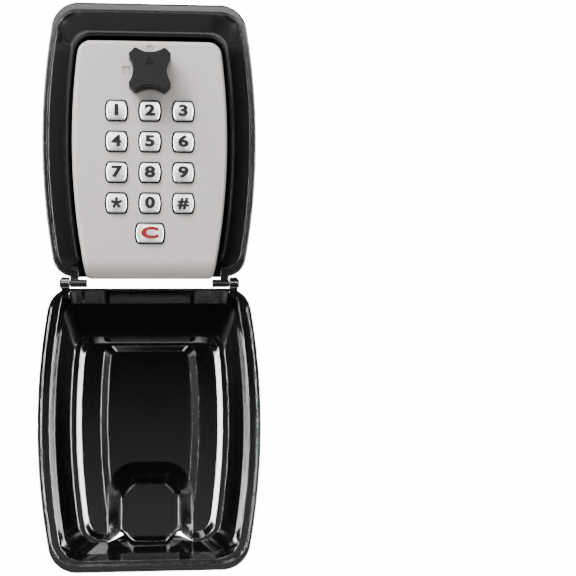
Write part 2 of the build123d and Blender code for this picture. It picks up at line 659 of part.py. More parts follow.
def cover_form(wall, near_wall):
    """The stepped body of the cover, or its hollow when walls are given."""
    front = RIM_DEPTH - wall
    far = cover_far() - COVER_TOP_OVERHANG + COVER_GAP - wall

    def outline(side_inset, near, inset, far_corner, near_corner):
        return cover_outline(side_inset + wall, near + near_wall, far - inset, far_corner, near_corner)

    def step(side_inset, near, inset, corner):
        return outline(side_inset, near, inset, corner, corner)

    corners = (BODY_CORNER - wall, BODY_NEAR_CORNER - wall)
    body = outline(BODY_SIDE_INSET, COVER_NEAR_EDGE, 0, *corners)
    body_top = outline(BODY_TOP_SIDE_INSET, BODY_TOP_NEAR, BODY_TOP_INSET, *corners)
    slope_top = step(SLOPE_TOP_SIDE_INSET, SLOPE_TOP_NEAR, SLOPE_TOP_INSET, SLOPE_TOP_CORNER)
    strip = step(STRIP_SIDE_INSET, STRIP_NEAR, STRIP_INSET, STRIP_CORNER)
    strip_top = step(STRIP_TOP_SIDE_INSET, STRIP_TOP_NEAR, STRIP_TOP_INSET, STRIP_TOP_CORNER)
    panel = step(PANEL_SIDE_INSET, PANEL_NEAR, PANEL_INSET, PANEL_CORNER)
    panel_top = step(PANEL_TOP_SIDE_INSET, PANEL_TOP_NEAR, PANEL_TOP_INSET, PANEL_TOP_CORNER)
    form = tier(front + FLANGE_TOP, front + BODY_TOP, body, body_top)
    form += tier(front + BODY_TOP, front + SLOPE_TOP, body_top, slope_top)
    form += tier(front + SLOPE_TOP, front + STRIP_TOP, strip, strip_top)
    form += tier(front + STRIP_TOP, front + PANEL_TOP, panel, panel_top)
    shoulder = shoulder_outline(wall)
    cup = cup_outline(CUP_HALF_WIDTH - wall)
    form += slab(shoulder, front + SLOPE_TOP, front + PANEL_TOP)
    form += tier(front + PANEL_TOP, front + FUNNEL_TOP, shoulder,
                 cup_outline(CUP_HALF_WIDTH - wall - FUNNEL_END_CUT))
    pocket = slab(cup, front + BODY_TOP, front + CUP_STRAIGHT_TOP)
    pocket += tier(front + CUP_STRAIGHT_TOP, front + CUP_TOP, cup, cup_outline(CUP_TOP_HALF_WIDTH - wall))
    form += pocket
    return form


def make_weather_cover():
    flange = cover_outline(-COVER_SIDE_OVERHANG, COVER_NEAR_EDGE, cover_far(), FLANGE_FAR_CORNER,
                           FLANGE_NEAR_CORNER)
    cover = slab(flange, RIM_DEPTH - COVER_LIP, RIM_DEPTH + FLANGE_TOP) + cover_form(0, 0)
    mouth = barrel(CASE_HALF_WIDTH + COVER_GAP, CASE_HALF_HEIGHT + COVER_GAP,
                   COVER_AXIS_Z - COVER_NEAR_EDGE, CASE_CORNER + COVER_GAP, MOUTH_CORNER)
    cover -= slab(mouth, RIM_DEPTH - 2 * COVER_LIP, RIM_DEPTH + COVER_SEAT_GAP)
    cover -= block(-CASE_HALF_HEIGHT, CASE_HALF_HEIGHT, RIM_DEPTH - 2 * COVER_LIP,
                   RIM_DEPTH + COVER_SEAT_GAP, 2 * COVER_AXIS_Z, COVER_AXIS_Z + COVER_LIP_START)
    ledge = cover_outline(BODY_SIDE_INSET + COVER_WALL, COVER_NEAR_EDGE + COVER_NEAR_WALL,
                          cover_far() - COVER_TOP_OVERHANG + COVER_GAP - COVER_WALL,
                          BODY_CORNER - COVER_WALL, BODY_NEAR_CORNER - COVER_WALL)
    cover -= slab(ledge, RIM_DEPTH, RIM_DEPTH - COVER_WALL + FLANGE_TOP)
    cover -= cover_form(COVER_WALL, COVER_NEAR_WALL)
    ear = cross_rod(EAR_INNER, EAR_OUTER, RIM_DEPTH, COVER_AXIS_Z, EAR_R)
    ear += block(EAR_INNER, EAR_OUTER, RIM_DEPTH + COVER_SEAT_GAP, RIM_DEPTH + FLANGE_TOP,
                 COVER_AXIS_Z, COVER_AXIS_Z + CASE_CORNER / 2)
    for piece in (ear, mirrored(ear)):
        cover += piece
    cover -= cross_rod(-CASE_HALF_WIDTH, CASE_HALF_WIDTH, RIM_DEPTH, COVER_AXIS_Z, COVER_PIN_R)
    return hang(cover)


def hang(piece):
    """Turn a piece of the shut cover about the cover's hinge until it hangs open."""
    axis = Axis((0, -RIM_DEPTH, COVER_AXIS_Z), (1, 0, 0))
    return piece.rotate(axis, 180)


def make_cover_pins():
    pin = cross_rod(KNUCKLE_INNER, EAR_OUTER, RIM_DEPTH, COVER_AXIS_Z, COVER_PIN_R)
    head = cross_rod(EAR_OUTER, EAR_OUTER + COVER_PIN_HEAD, RIM_DEPTH, COVER_AXIS_Z, COVER_PIN_HEAD_R)
    return both_sides(pin + fillet(head.edges().group_by(Axis.X)[-1], COVER_PIN_HEAD / 2))


def plate_outline(inset):
    return barrel(PLATE_HALF_WIDTH - inset, PLATE_TOP - inset, PLATE_BOTTOM + inset,
                  PLATE_CORNER - inset, 0)


def plate_side(inset):
    """Side view of the plate as a solid as wide as the door, with its rounded lower end."""
    front = PLATE_FRONT - inset
    bottom = PLATE_BOTTOM + inset
    centre_depth = PLATE_FRONT - PLATE_END_R
    centre_z = PLATE_BOTTOM + PLATE_END_R
    reach = (PLATE_END_R - inset) * sqrt(0.5)
    loop = [
        Line((0, bottom), (-centre_depth, bottom)),
        ThreePointArc((-centre_depth, bottom), (-centre_depth - reach, centre_z - reach), (-front, centre_z)),
        Line((-front, centre_z), (-front, PLATE_TOP)),
        Line((-front, PLATE_TOP), (0, PLATE_TOP)),
        Line((0, PLATE_TOP), (0, bottom)),
    ]
    return extrude(Plane.YZ * make_face(Curve() + loop), PLATE_HALF_WIDTH + PLATE_WALL, both=True)


def key_outline(width, height, grow):
    """Outline of a key: flat above and below, with sides that bulge."""
    half_w = width / 2 + grow
    half_h = height / 2 + grow
    side = half_w - KEY_BULGE
    loop = [
        ThreePointArc((side, -half_h), (half_w, 0), (side, half_h)),
        Line((side, half_h), (-side, half_h)),
        ThreePointArc((-side, half_h), (-half_w, 0), (-side, -half_h)),
        Line((-side, -half_h), (side, -half_h)),
    ]
    face = make_face(Curve() + loop)
    return fillet(face.vertices(), KEY_CORNER + grow)


def number_key_places():
    """Where the number keys stand, row by row from the top left."""
    places = []
    for row in range(4):
        for column in (-1, 0, 1):
            places.append((column * KEY_PITCH_X, KEY_TOP_ROW_Z - row * KEY_PITCH_Z))
    return places


def all_key_places():
    return number_key_places() + [(0, CLEAR_KEY_Z)]


def make_front_plate():
    plate = slab(plate_outline(0), PLATE_BACK, PLATE_FRONT) & plate_side(0)
    rim = plate.faces().sort_by(Axis.Y)[0].edges()
    bend = PLATE_BOTTOM + PLATE_END_R
    rim = rim.filter_by(lambda edge: abs(edge.center().Z - bend) > PICK_TOLERANCE)
    plate = fillet(rim, PLATE_EDGE_ROUND)
    plate -= slab(plate_outline(PLATE_WALL), 0, PLATE_INNER) & plate_side(PLATE_WALL)
    for x in (-ARM_SCREW_X, ARM_SCREW_X):
        for z in ARM_SCREW_ZS:
            plate += post(x, z, DOOR_BOSS_R, BACK_PLATE_FRONT, PLATE_INNER)
            plate -= post(x, z, ARM_SCREW_R, BACK_PLATE_FRONT, BACK_PLATE_FRONT + ARM_SCREW_GRIP)
    for x, z in number_key_places():
        plate -= slab(Pos(x, z) * key_outline(KEY_WIDTH, KEY_HEIGHT, KEY_GAP), PLATE_BACK, 2 * PLATE_FRONT)
    clear_hole = Pos(0, CLEAR_KEY_Z) * key_outline(CLEAR_KEY_WIDTH, KEY_HEIGHT, KEY_GAP)
    plate -= slab(clear_hole, PLATE_BACK, 2 * PLATE_FRONT)
    plate -= post(0, KNOB_Z, BUSH_R, PLATE_BACK, 2 * PLATE_FRONT)
    plate -= post(0, CIRCLE_MARK_Z, CIRCLE_MARK_R, PLATE_FRONT - STAMP_DEPTH, PLATE_FRONT)
    half_side = SQUARE_MARK_SIDE / 2
    return plate - block(SQUARE_MARK_X - half_side, SQUARE_MARK_X + half_side, PLATE_FRONT - STAMP_DEPTH,
                         PLATE_FRONT, SQUARE_MARK_Z - half_side, SQUARE_MARK_Z + half_side)


def code_disc_places():
    """Where the code discs sit, row by row from the lower left."""
    return [(column * KEY_PITCH_X, DISC_BOTTOM_Z + row * DISC_PITCH_Z)
            for row in range(4) for column in (-1, 0, 1)]


def make_back_plate():
    outline = barrel(BOX_OPEN_HALF_WIDTH - DOOR_GAP, BOX_OPEN_TOP - DOOR_GAP, BACK_PLATE_BOTTOM,
                     BOX_OPEN_CORNER, BOX_OPEN_CORNER)
    plate = slab(outline, BACK_PLATE_REAR, BACK_PLATE_FRONT)
    for x, z in code_disc_places():
        plate -= post(x, z, DISC_R + DISC_GAP, 0, PLATE_FRONT)
    for x in (-ARM_SCREW_X, ARM_SCREW_X):
        for z in ARM_SCREW_ZS:
            plate -= post(x, z, ARM_SCREW_R, 0, PLATE_FRONT)
    for x, z in lock_leg_places():
        plate -= post(x, z, LOCK_SCREW_R, 0, PLATE_FRONT)
    return plate - post(0, KNOB_Z, SPINDLE_R + DISC_GAP, 0, PLATE_FRONT)


def lock_leg_places():
    return [(x, z) for x in (-LEG_X, LEG_X) for z in (LEG_BOTTOM_Z, LEG_TOP_Z)]


def make_lock_plate():
    height = LOCK_PLATE_TOP - LOCK_PLATE_BOTTOM
    outline = Pos(0, (LOCK_PLATE_TOP + LOCK_PLATE_BOTTOM) / 2) * RectangleRounded(
        2 * LOCK_PLATE_HALF_WIDTH, height, KEY_CORNER)
    plate = slab(outline, LOCK_PLATE_REAR, LOCK_PLATE_FRONT)
    for x, z in lock_leg_places():
        plate += post(x, z, LEG_R, BACK_PLATE_FRONT, LOCK_PLATE_REAR)
        plate -= post(x, z, LOCK_SCREW_R, BACK_PLATE_FRONT, LOCK_PLATE_REAR)
    for x, z in all_key_places():
        plate -= post(x, z, STEM_HOLE_R, 0, PLATE_FRONT)
    return plate


def make_lock_screws():
    screws = []
    for x, z in lock_leg_places():
        shank = post(x, z, LOCK_SCREW_R, BACK_PLATE_REAR, LOCK_PLATE_REAR)
        head = post(x, z, LOCK_SCREW_HEAD_R, BACK_PLATE_REAR - LOCK_SCREW_HEAD, BACK_PLATE_REAR)
        screws.append(shank + head)
    return Compound(children=screws)


def make_hinge_arm():
    strip_rear = BACK_PLATE_REAR - ARM_STRIP
    arm_outer = ARM_INNER + ARM_THICKNESS
    arm = block(arm_outer - ARM_STRIP_WIDTH, arm_outer, strip_rear, BACK_PLATE_REAR,
                ARM_STRIP_BOTTOM, ARM_STRIP_TOP)
    arm = fillet(arm.edges().filter_by(Axis.Y).group_by(Axis.Z)[-1], ARM_STRIP_WIDTH / 3)
    arm += block(ARM_INNER, arm_outer, strip_rear, DOOR_AXIS_DEPTH + ARM_FRONT_REACH,
                 DOOR_AXIS_Z, BACK_PLATE_BOTTOM - KEY_SEAT_GAP)
    arm += cross_rod(ARM_INNER, arm_outer, DOOR_AXIS_DEPTH, DOOR_AXIS_Z, ARM_EYE_R)
    arm -= cross_rod(0, CASE_HALF_WIDTH, DOOR_AXIS_DEPTH, DOOR_AXIS_Z, ROD_R + HINGE_RUNNING_GAP)
    for z in ARM_SCREW_ZS:
        arm -= post(ARM_SCREW_X, z, ARM_SCREW_R, 0, PLATE_FRONT)
    return arm


def make_arm_screws():
    screws = []
    seat = BACK_PLATE_REAR - ARM_STRIP
    for x in (-ARM_SCREW_X, ARM_SCREW_X):
        for z in ARM_SCREW_ZS:
            head = post(x, z, ARM_SCREW_HEAD_R, seat - ARM_SCREW_HEAD, seat)
            head = fillet(head.edges().group_by(Axis.Y)[-1], ARM_SCREW_HEAD / 2)
            slot = MARK_LINE / 2
            head -= block(x - ARM_SCREW_HEAD_R, x + ARM_SCREW_HEAD_R, seat - ARM_SCREW_HEAD,
                          seat - ARM_SCREW_HEAD / 2, z - slot, z + slot)
            screws.append(head + post(x, z, ARM_SCREW_R, seat, BACK_PLATE_FRONT + ARM_SCREW_GRIP))
    return Compound(children=screws)


def make_key(x, z, width, height, stem_length):
    top = PLATE_FRONT + KEY_PROUD
    cap = slab(Pos(x, z) * key_outline(width, height, 0), KEY_FLANGE_FRONT, top)
    crown = Pos(x, -(top - KEY_CROWN_R), z) * Sphere(KEY_CROWN_R)
    cap = cap & (crown + slab(Pos(x, z) * Rectangle(2 * width, 2 * height), KEY_FLANGE_REAR, PLATE_FRONT))
    cap = fillet(cap.edges().group_by(Axis.Y)[0] + crown_edges(cap), KEY_EDGE_ROUND)
    key = cap + slab(Pos(x, z) * key_outline(width, height, KEY_FLANGE), KEY_FLANGE_REAR, KEY_FLANGE_FRONT)
    return key + post(x, z, KEY_STEM_R, KEY_FLANGE_REAR - stem_length, KEY_FLANGE_REAR)


def crown_edges(cap):
    """The edges round the crowned face of a key."""
    return cap.faces().sort_by(Axis.Y)[0].edges()


def make_clear_bar(stem_end):
    return block(-CLEAR_BAR_HALF_WIDTH, CLEAR_BAR_HALF_WIDTH, stem_end - CLEAR_BAR_THICKNESS, stem_end,
                 CLEAR_KEY_Z - CLEAR_BAR_HEIGHT / 2, CLEAR_KEY_Z + CLEAR_BAR_HEIGHT / 2)


def make_button_springs():
    back = LOCK_PLATE_FRONT + SPRING_WIRE_R + SPRING_SEAT_GAP
    height = KEY_FLANGE_REAR - SPRING_SEAT_GAP - SPRING_WIRE_R - back
    path = Helix(height / SPRING_TURNS, height, SPRING_R)
    wire = sweep(Plane(path @ 0, z_dir=path % 0) * Circle(SPRING_WIRE_R), path, is_frenet=True)
    springs = [Pos(x, -back, z) * Rot(90, 0, 0) * wire for x, z in all_key_places()]
    return Compound(children=springs)


def make_code_disc(x, z):
    rear = BACK_PLATE_REAR - DISC_PROUD
    flange_rear = BACK_PLATE_FRONT + KEY_SEAT_GAP
    disc = post(x, z, DISC_R, rear, flange_rear)
    disc += post(x, z, DISC_R + DISC_FLANGE, flange_rear, flange_rear + DISC_FLANGE_THICKNESS)
    slot = block(x - DISC_SLOT_LENGTH / 2, x + DISC_SLOT_LENGTH / 2, rear, rear + DISC_SLOT_DEPTH,
                 z - DISC_SLOT_WIDTH / 2, z + DISC_SLOT_WIDTH / 2)
    return disc - slot


def knob_outline():
    far = KNOB_LOBE_FAR
    near = KNOB_LOBE_NEAR
    loop = []
    for quarter in range(4):
        turn = Rot(0, 0, 90 * quarter)
        loop.append(turn * Line((near, far), (far, near)))
        loop.append(turn * ThreePointArc((far, near), (KNOB_WAIST, 0), (far, -near)))
    face = make_face(Curve() + loop)
    return Pos(0, KNOB_Z) * fillet(face.vertices(), KNOB_CORNER)


def make_knob():
    back = PLATE_FRONT + BUSH_FLANGE + KNOB_GAP
    front = PLATE_FRONT + KNOB_HEIGHT
    knob = slab(knob_outline(), back, front)
    knob = fillet(knob.edges().group_by(Axis.Y)[0], KNOB_EDGE_ROUND)
    outer = Triangle(a=TRIANGLE_SIDE, b=TRIANGLE_SIDE, c=TRIANGLE_SIDE)
    inner = offset(outer, -TRIANGLE_LINE)
    knob -= slab(Pos(0, KNOB_Z + TRIANGLE_CENTRE_Z) * (outer - inner), front - MARK_DEPTH, front)
    return knob - post(0, KNOB_Z, SPINDLE_R, 0, back + SPINDLE_GRIP)


def make_knob_spindle():
    return post(0, KNOB_Z, SPINDLE_R, CAM_REAR, PLATE_FRONT + BUSH_FLANGE + KNOB_GAP + SPINDLE_GRIP)


def make_spindle_bush():
    bush = post(0, KNOB_Z, BUSH_R, PLATE_INNER, PLATE_FRONT)
    bush += post(0, KNOB_Z, BUSH_FLANGE_R, PLATE_FRONT, PLATE_FRONT + BUSH_FLANGE)
    return bush - post(0, KNOB_Z, SPINDLE_R + DISC_GAP, 0, 2 * PLATE_FRONT)


def make_spindle_clip():
    front = PLATE_INNER - CLIP_GAP
    clip = post(0, KNOB_Z, CLIP_R, front - CLIP_THICKNESS, front)
    return clip - post(0, KNOB_Z, SPINDLE_R, 0, 2 * PLATE_FRONT)


def crank_place():
    """Where the crank pin stands with the bolt drawn in."""
    return CRANK_R * cos(pi / 4), KNOB_Z - CRANK_R * sin(pi / 4)


def make_cam():
    cam = post(0, KNOB_Z, CAM_R, CAM_REAR, CAM_FRONT) - post(0, KNOB_Z, SPINDLE_R, 0, 2 * PLATE_FRONT)
    x, z = crank_place()
    return cam + post(x, z, CRANK_PIN_R, BOLT_REAR + BOLT_GAP, CAM_REAR)


def bolt_top():
    return LATCH_COVER_TOP + BOLT_TIP_PROUD


def make_latch_bolt():
    bolt = block(-BOLT_HALF_WIDTH, BOLT_HALF_WIDTH, BOLT_REAR, BOLT_FRONT, BOLT_BOTTOM, bolt_top())
    x, z = crank_place()
    half_height = CRANK_PIN_R + CRANK_SLOT_GAP
    slot = Pos(x + (CRANK_R - x) / 2, z) * Rectangle(CRANK_R - x + 2 * half_height, 2 * half_height)
    return bolt - slab(slot, 0, PLATE_FRONT)


def make_latch_cover():
    middle = (LATCH_COVER_TOP + LATCH_COVER_BOTTOM) / 2
    height = LATCH_COVER_TOP - LATCH_COVER_BOTTOM
    outline = Pos(0, middle) * RectangleRounded(2 * LATCH_COVER_HALF_WIDTH, height, LATCH_COVER_CORNER)
    cover = slab(outline, LATCH_COVER_REAR, BACK_PLATE_REAR)
    cover = fillet(cover.edges().group_by(Axis.Y)[-1], LATCH_COVER_ROUND)
    wall = LATCH_COVER_WALL
    inner = Pos(0, middle) * RectangleRounded(2 * (LATCH_COVER_HALF_WIDTH - wall), height - 2 * wall,
                                              LATCH_COVER_CORNER - wall)
    cover -= slab(inner, LATCH_COVER_REAR + wall, BACK_PLATE_REAR)
    side = BOLT_HALF_WIDTH + BOLT_GAP
    guide = block(side, side + GUIDE_WIDTH, LATCH_COVER_REAR + wall / 2, BOLT_FRONT,
                  LATCH_COVER_BOTTOM + wall / 2, LATCH_COVER_TOP - wall / 2)
    cover = cover + guide + mirrored(guide)
    return cover - block(-side, side, BOLT_REAR - BOLT_GAP, BOLT_FRONT + BOLT_GAP, middle,
                         2 * LATCH_COVER_TOP)


def make_all():
    frame_screws = make_frame_screws()
    bracket = make_bracket()
    arm = make_hinge_arm()
    bar_front = LOCK_PLATE_REAR - KEY_SEAT_GAP
    bracket_screws = bracket_screw_list()
    bracket_screws += [mirrored(screw) for screw in bracket_screws]
    clear_stem = KEY_FLANGE_REAR - bar_front
    parts = {
        "case_box": make_case_box(frame_screws),
        "weather_frame": make_weather_frame(),
        "frame_screws": frame_screws,
        "latch_keeper": make_latch_keeper(),
        "keeper_screws": make_keeper_screws(),
        "hinge_bracket_right": bracket,
        "hinge_bracket_left": mirrored(bracket),
        "bracket_screws": Compound(children=bracket_screws),
        "hinge_rod": make_hinge_rod(),
        "rod_sleeve": make_rod_sleeve(),
        "weather_cover": make_weather_cover(),
        "cover_pins": make_cover_pins(),
        "front_plate": make_front_plate(),
        "back_plate": make_back_plate(),
        "lock_plate": make_lock_plate(),
        "lock_screws": make_lock_screws(),
        "hinge_arm_right": arm,
        "hinge_arm_left": mirrored(arm),
        "arm_screws": make_arm_screws(),
        "button_springs": make_button_springs(),
        "latch_cover": make_latch_cover(),
        "spindle_bush": make_spindle_bush(),
        "knob": make_knob(),
        "knob_spindle": make_knob_spindle(),
        "spindle_clip": make_spindle_clip(),
        "cam": make_cam(),
        "latch_bolt": make_latch_bolt(),
        "clear_bar": make_clear_bar(bar_front),
        "button_clear": make_key(0, CLEAR_KEY_Z, CLEAR_KEY_WIDTH, KEY_HEIGHT, clear_stem),
    }
    for label, (x, z) in zip(KEY_LABELS, number_key_places()):
        parts["button_" + label] = make_key(x, z, KEY_WIDTH, KEY_HEIGHT, KEY_STEM_LENGTH)
    for number, (x, z) in enumerate(code_disc_places(), start=1):
        parts["code_disc_" + str(number)] = make_code_disc(x, z)
    return parts


os.makedirs("parts", exist_ok=True)
for name, part in make_all().items():
    export_step(part, "parts/" + name + ".step")
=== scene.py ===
import json
from collections import namedtuple
from math import atan, cos, pi, radians, sin, tan

import bpy
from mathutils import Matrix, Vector


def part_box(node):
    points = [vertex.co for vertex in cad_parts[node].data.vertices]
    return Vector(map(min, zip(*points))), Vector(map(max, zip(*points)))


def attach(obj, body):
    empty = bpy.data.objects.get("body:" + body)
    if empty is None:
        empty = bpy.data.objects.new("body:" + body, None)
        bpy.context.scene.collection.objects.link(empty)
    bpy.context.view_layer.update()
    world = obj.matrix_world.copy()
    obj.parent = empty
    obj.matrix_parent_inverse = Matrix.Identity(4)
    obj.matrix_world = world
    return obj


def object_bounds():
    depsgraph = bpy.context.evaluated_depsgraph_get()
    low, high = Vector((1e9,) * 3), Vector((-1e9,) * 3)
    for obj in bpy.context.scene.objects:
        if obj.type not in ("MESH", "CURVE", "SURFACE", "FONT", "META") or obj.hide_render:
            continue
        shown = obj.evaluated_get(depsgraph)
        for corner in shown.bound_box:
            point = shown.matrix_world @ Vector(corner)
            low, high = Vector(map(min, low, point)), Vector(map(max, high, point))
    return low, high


# Lengths are in metres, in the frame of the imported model: X right, Z up, the front faces -Y.
# Colours are linear, and a noise of scale 1000 has grains of about 1 mm.
MM = 0.001

# Camera, level with the cover's hinge and in front of the safe's middle. The lens and the sensor
# are in millimetres, the safe's middle and the horizon in pixels of the picture.
IMAGE_WIDTH = 576
CAMERA_DISTANCE = 0.731
CAMERA_HEIGHT = -0.0723
LENS = 84.8
SENSOR = 36.0
SAFE_MIDDLE_PX = 150
HORIZON_PX = 283

# Characters on the keys, set in type with strokes swollen to bold and pressed flat, and
# stretched in width
CHARACTERS = {"1": "1", "2": "2", "3": "3", "4": "4", "5": "5", "6": "6", "7": "7", "8": "8",
              "9": "9", "0": "0", "hash": "#", "clear": "C"}
TYPE_SIZE = 7.4 * MM
TYPE_SWELL = 0.37 * MM
TYPE_FLATNESS = 0.25
TYPE_STRETCH = {"1": 1.35, "4": 1.25, "hash": 1.15, "0": 1.30, "clear": 1.65}
USUAL_STRETCH = 1.38
PRINT_DEPTH = 0.12 * MM

# Star, which is drawn. Its parts are shares of its size, and its arms widen to their ends
STAR_SIZE = 5.2 * MM
STAR_ARMS = 5
STAR_REACH = 0.55
STAR_HALF_WIDTH = 0.125
STAR_FLARE = 1.15

# Distance of the plate's face from the wall. Keys are black below it, as painted shade in the gaps
# round them, with a short blend
PLATE_FACE = 45.3 * MM
GAP_SHADE_BLEND = 0.3 * MM

# Radius to which the shading rounds edges, and reach of the shade painted into the plate's
# recesses
EDGE_SOFTNESS = 0.65 * MM
PAINTED_SHADE_REACH = 1.6 * MM

# Noise stretched along the X axis, along the Z axis and not at all
ALONG_X = (0.05, 1, 1)
ALONG_Z = (1, 1, 0.05)
EVEN = (1, 1, 1)

FLOOR_DROP = 0.55
FLOOR_SIZE = 3.0

# Brightness of the surroundings: what the camera sees, and the soft light from below and above.
# Reflections see steps of light, each with its share of the way from straight down to straight up.
BACKDROP = 16.0
ROOM_LOW = 0.0
ROOM_HIGH = 0.80
GLOSS_STEPS = ((0.0, 0.02), (0.27, 0.02), (0.35, 0.65), (0.39, 0.50), (0.468, 0.0),
               (0.60, 0.01), (1.0, 0.05))

# Soft boxes with sizes in metres and power in watts. Strips and near boxes, and the one below,
# only show in the gloss, and the key box only lights colours.
Softbox = namedtuple("Softbox", "name place target width height power diffuse gloss")
VIEW_MIDDLE = (0, 0, CAMERA_HEIGHT)
DOOR_MIDDLE = (0, 0, 0.02)
COVER_TOP = (0, -0.02, -0.10)
SOFTBOXES = (
    Softbox("left_strip", (-0.80, -0.62, -0.05), VIEW_MIDDLE, 0.09, 1.0, 85, False, True),
    Softbox("right_strip", (0.80, -0.62, -0.05), VIEW_MIDDLE, 0.09, 1.0, 70, False, True),
    Softbox("near_left", (-0.26, -1.15, -0.05), VIEW_MIDDLE, 0.05, 1.0, 3.5, False, True),
    Softbox("near_right", (0.26, -1.15, -0.05), VIEW_MIDDLE, 0.05, 1.0, 3.5, False, True),
    Softbox("near_top", (0, -1.15, 0.36), VIEW_MIDDLE, 0.80, 0.16, 7, False, True),
    Softbox("under_box", (0, -0.25, -0.95), COVER_TOP, 0.40, 0.10, 0.9, False, True),
    Softbox("top_box", (-0.30, -0.50, 0.80), DOOR_MIDDLE, 0.55, 0.35, 10, True, True),
    Softbox("key_box", (-0.34, -0.46, 0.38), DOOR_MIDDLE, 0.16, 0.16, 2.6, True, False),
)


def new_material(name):
    """A material and its shader, for the makers below to fill in."""
    material = bpy.data.materials.new(name)
    material.use_nodes = True
    return material, material.node_tree.nodes["Principled BSDF"]


def add_node(owner, kind, **values):
    """A node with values on its inputs, whose names have an underscore for each space."""
    node = owner.node_tree.nodes.new(kind)
    for key, value in values.items():
        node.inputs[key.replace("_", " ")].default_value = value
    return node


def noise(material, scale, detail=3.0, stretch=EVEN):
    """Noise over the piece's own coordinates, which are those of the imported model."""
    links = material.node_tree.links
    place = add_node(material, "ShaderNodeTexCoord")
    stretched = add_node(material, "ShaderNodeMapping", Scale=stretch)
    texture = add_node(material, "ShaderNodeTexNoise", Scale=scale, Detail=detail)
    links.new(place.outputs["Object"], stretched.inputs["Vector"])
    links.new(stretched.outputs["Vector"], texture.inputs["Vector"])
    return texture.outputs["Fac"]


def mix_colours(material, fac, first, second):
    """Goes from the first to the second with a texture. Each is a colour or another output."""
    links = material.node_tree.links
    mix = add_node(material, "ShaderNodeMix")
    mix.data_type = "RGBA"
    for name, colour in (("A", first), ("B", second)):
        if isinstance(colour, tuple):
            mix.inputs[name].default_value = (*colour, 1)
        else:
            links.new(colour, mix.inputs[name])
    links.new(fac, mix.inputs["Factor"])
    return mix.outputs["Result"]


def vary_colour(material, shader, fac, first, second):
    """Base colour that goes from the first to the second with a texture."""
    colour = mix_colours(material, fac, first, second)
    material.node_tree.links.new(colour, shader.inputs["Base Color"])


def vary_roughness(material, shader, fac, low, high):
    """Roughness that goes from low to high with a texture."""
    links = material.node_tree.links
    spread = add_node(material, "ShaderNodeMapRange", To_Min=low, To_Max=high)
    links.new(fac, spread.inputs["Value"])
    links.new(spread.outputs["Result"], shader.inputs["Roughness"])


def add_relief(material, shader, fac, height, strength, softened=False):
    """Fine relief that follows a texture, over edges that look rounded if softened."""
    links = material.node_tree.links
    bump = add_node(material, "ShaderNodeBump", Distance=height, Strength=strength)
    links.new(fac, bump.inputs["Height"])
    links.new(bump.outputs["Normal"], shader.inputs["Normal"])
    if softened:
        bevel = add_node(material, "ShaderNodeBevel", Radius=EDGE_SOFTNESS)
        links.new(bevel.outputs["Normal"], bump.inputs["Normal"])


def darkened(colour, share):
    """A share of a colour."""
    return tuple(share * part for part in colour)


def new_skin(name, specular, colours, colour_scale, roughness, roughness_scale, relief_scale,
             relief_height, relief_strength, relief_detail=2, softened=False):
    """A plastic, coat or ink with noise in its colour, its roughness and its relief."""
    material, shader = new_material(name)
    shader.inputs["Specular IOR Level"].default_value = specular
    vary_colour(material, shader, noise(material, colour_scale), *colours)
    vary_roughness(material, shader, noise(material, roughness_scale), *roughness)
    relief = noise(material, relief_scale, relief_detail)
    add_relief(material, shader, relief, relief_height, relief_strength, softened)
    return material


def shell_black():
    """Moulded black plastic with a fine satin skin."""
    return new_skin("shell_black", specular=0.30,
                    colours=((0.003, 0.003, 0.0032), (0.006, 0.006, 0.0064)), colour_scale=60,
                    roughness=(0.13, 0.18), roughness_scale=90,
                    relief_scale=2200, relief_height=0.012 * MM, relief_strength=0.3,
                    softened=True)


def cover_black():
    """Polished black plastic, with the slight waviness of a moulded sheet."""
    return new_skin("cover_black", specular=1.0,
                    colours=((0.002, 0.002, 0.0021), (0.004, 0.004, 0.0042)), colour_scale=50,
                    roughness=(0.07, 0.10), roughness_scale=70,
                    relief_scale=55, relief_height=0.02 * MM, relief_strength=0.3,
                    relief_detail=1, softened=True)


def coated_black(name, colour, roughness):
    """Black coat on metal with a little orange peel."""
    return new_skin(name, specular=0.25,
                    colours=(darkened(colour, 0.6), colour), colour_scale=120,
                    roughness=roughness, roughness_scale=200,
                    relief_scale=900, relief_height=0.02 * MM, relief_strength=0.5)


def knob_dark():
    """Dark grey plastic with a pebbled texture."""
    return new_skin("knob_dark", specular=0.05,
                    colours=((0.008, 0.008, 0.0085), (0.020, 0.020, 0.021)), colour_scale=1500,
                    roughness=(0.50, 0.70), roughness_scale=1200,
                    relief_scale=1600, relief_height=0.12 * MM, relief_strength=0.6,
                    relief_detail=3, softened=True)


def ink(name, colour):
    """Printing ink with a dull skin."""
    return new_skin(name, specular=0.08,
                    colours=(colour, darkened(colour, 0.8)), colour_scale=1500,
                    roughness=(0.60, 0.75), roughness_scale=900,
                    relief_scale=4000, relief_height=0.005 * MM, relief_strength=0.4)


def plate_grey():
    """Warm light grey lacquer with fine metal flake, with shade painted into its recesses and
    round the keys and the knob.
    """
    material, shader = new_material("plate_grey")
    shader.inputs["Specular IOR Level"].default_value = 0.15
    flake = mix_colours(material, noise(material, scale=3500, detail=2),
                        (0.66, 0.617, 0.586), (0.75, 0.706, 0.675))
    # Painted shade: ambient occlusion darkens the base colour in the recesses and next to the keys
    # and the knob
    painted_shade = add_node(material, "ShaderNodeAmbientOcclusion", Distance=PAINTED_SHADE_REACH)
    vary_colour(material, shader, painted_shade.outputs["AO"], (0.10, 0.095, 0.09), flake)
    vary_roughness(material, shader, noise(material, scale=150), low=0.36, high=0.44)
    add_relief(material, shader, noise(material, scale=3000, detail=2),
               height=0.01 * MM, strength=0.3)
    return material


